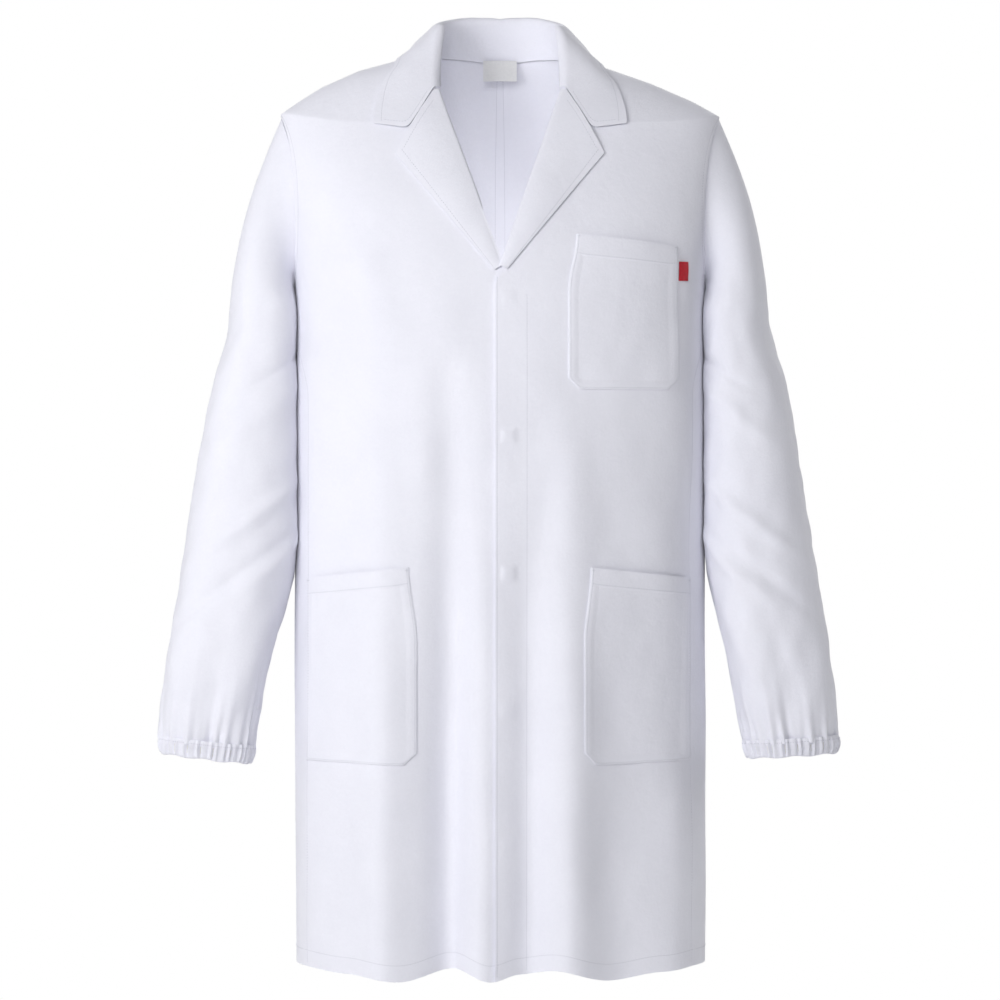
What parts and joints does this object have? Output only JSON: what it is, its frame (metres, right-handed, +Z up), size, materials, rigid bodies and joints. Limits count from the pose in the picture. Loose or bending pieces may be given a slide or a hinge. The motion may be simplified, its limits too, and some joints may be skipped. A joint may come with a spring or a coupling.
{
  "type": "lab coat",
  "caption": "Long-sleeved white lab coat, worn shape, with notched lapels, concealed snap front, patch pockets and elasticated cuffs.",
  "frame": {"origin": "middle of the neck opening, level with the back neck seam", "axes": "+Z up; the front faces -Y; +X towards the wearer's left side"},
  "size_m": [0.7108, 0.258, 1.0106],
  "materials": {
    "cloth": "smooth white twill",
    "label_tape": "satin woven tape",
    "elastic": "ribbed woven elastic",
    "red_tape": "woven tape",
    "snap": "white moulded plastic"
  },
  "bodies": {
    "coat": {"back_left": "cloth", "lapel_left": "cloth", "front_left_chest": "cloth", "facing_left_chest": "cloth", "back_right": "cloth", "lapel_right": "cloth", "front_right_chest": "cloth", "facing_right_chest": "cloth", "fly_chest": "cloth", "upper_collar": "cloth", "under_collar": "cloth", "chest_pocket": "cloth", "snap_stud_1": "snap", "snap_socket_1": "snap"},
    "sleeve_left": {"sleeve_left": "cloth", "cuff_casing_left": "cloth", "cuff_elastic_left": "elastic"},
    "sleeve_right": {"sleeve_right": "cloth", "cuff_casing_right": "cloth", "cuff_elastic_right": "elastic"},
    "skirt_left": {"front_left_skirt": "cloth", "facing_left_skirt": "cloth", "fly_skirt": "cloth", "hip_pocket_left": "cloth", "snap_socket_2": "snap", "snap_socket_3": "snap", "snap_socket_4": "snap", "snap_socket_5": "snap"},
    "skirt_right": {"front_right_skirt": "cloth", "facing_right_skirt": "cloth", "hip_pocket_right": "cloth", "snap_stud_2": "snap", "snap_stud_3": "snap", "snap_stud_4": "snap", "snap_stud_5": "snap"},
    "label": {"neck_label": "label_tape"},
    "tab": {"pocket_tab": "red_tape"}
  },
  "joints": [
    {"name": "sleeve_left_raise", "type": "hinge", "parent": "coat", "child": "sleeve_left", "pos_m": [0.2355, 0, -0.063], "axis": [0, -1, 0], "range_deg": [0, 40]},
    {"name": "sleeve_right_raise", "type": "hinge", "parent": "coat", "child": "sleeve_right", "pos_m": [-0.2355, 0, -0.063], "axis": [0, 1, 0], "range_deg": [0, 40]},
    {"name": "front_left_open", "type": "hinge", "parent": "coat", "child": "skirt_left", "pos_m": [0.2055, -0.051, -0.6], "axis": [0, 0, 1], "range_deg": [0, 45]},
    {"name": "front_right_open", "type": "hinge", "parent": "coat", "child": "skirt_right", "pos_m": [-0.2055, -0.051, -0.6], "axis": [0, 0, -1], "range_deg": [0, 38.25]},
    {"name": "neck_label_lift", "type": "hinge", "parent": "coat", "child": "label", "pos_m": [0, 0.0534, 0.0025], "axis": [-1, 0, 0], "range_deg": [0, 100]},
    {"name": "pocket_tab_flip", "type": "hinge", "parent": "coat", "child": "tab", "pos_m": [0.1876, -0.0842, -0.22], "axis": [0, 0, -1], "range_deg": [0, 110]}
  ],
  "couplings": [
    {"joint": "front_right_open", "follows": "front_left_open", "ratio": 0.85}
  ]
}
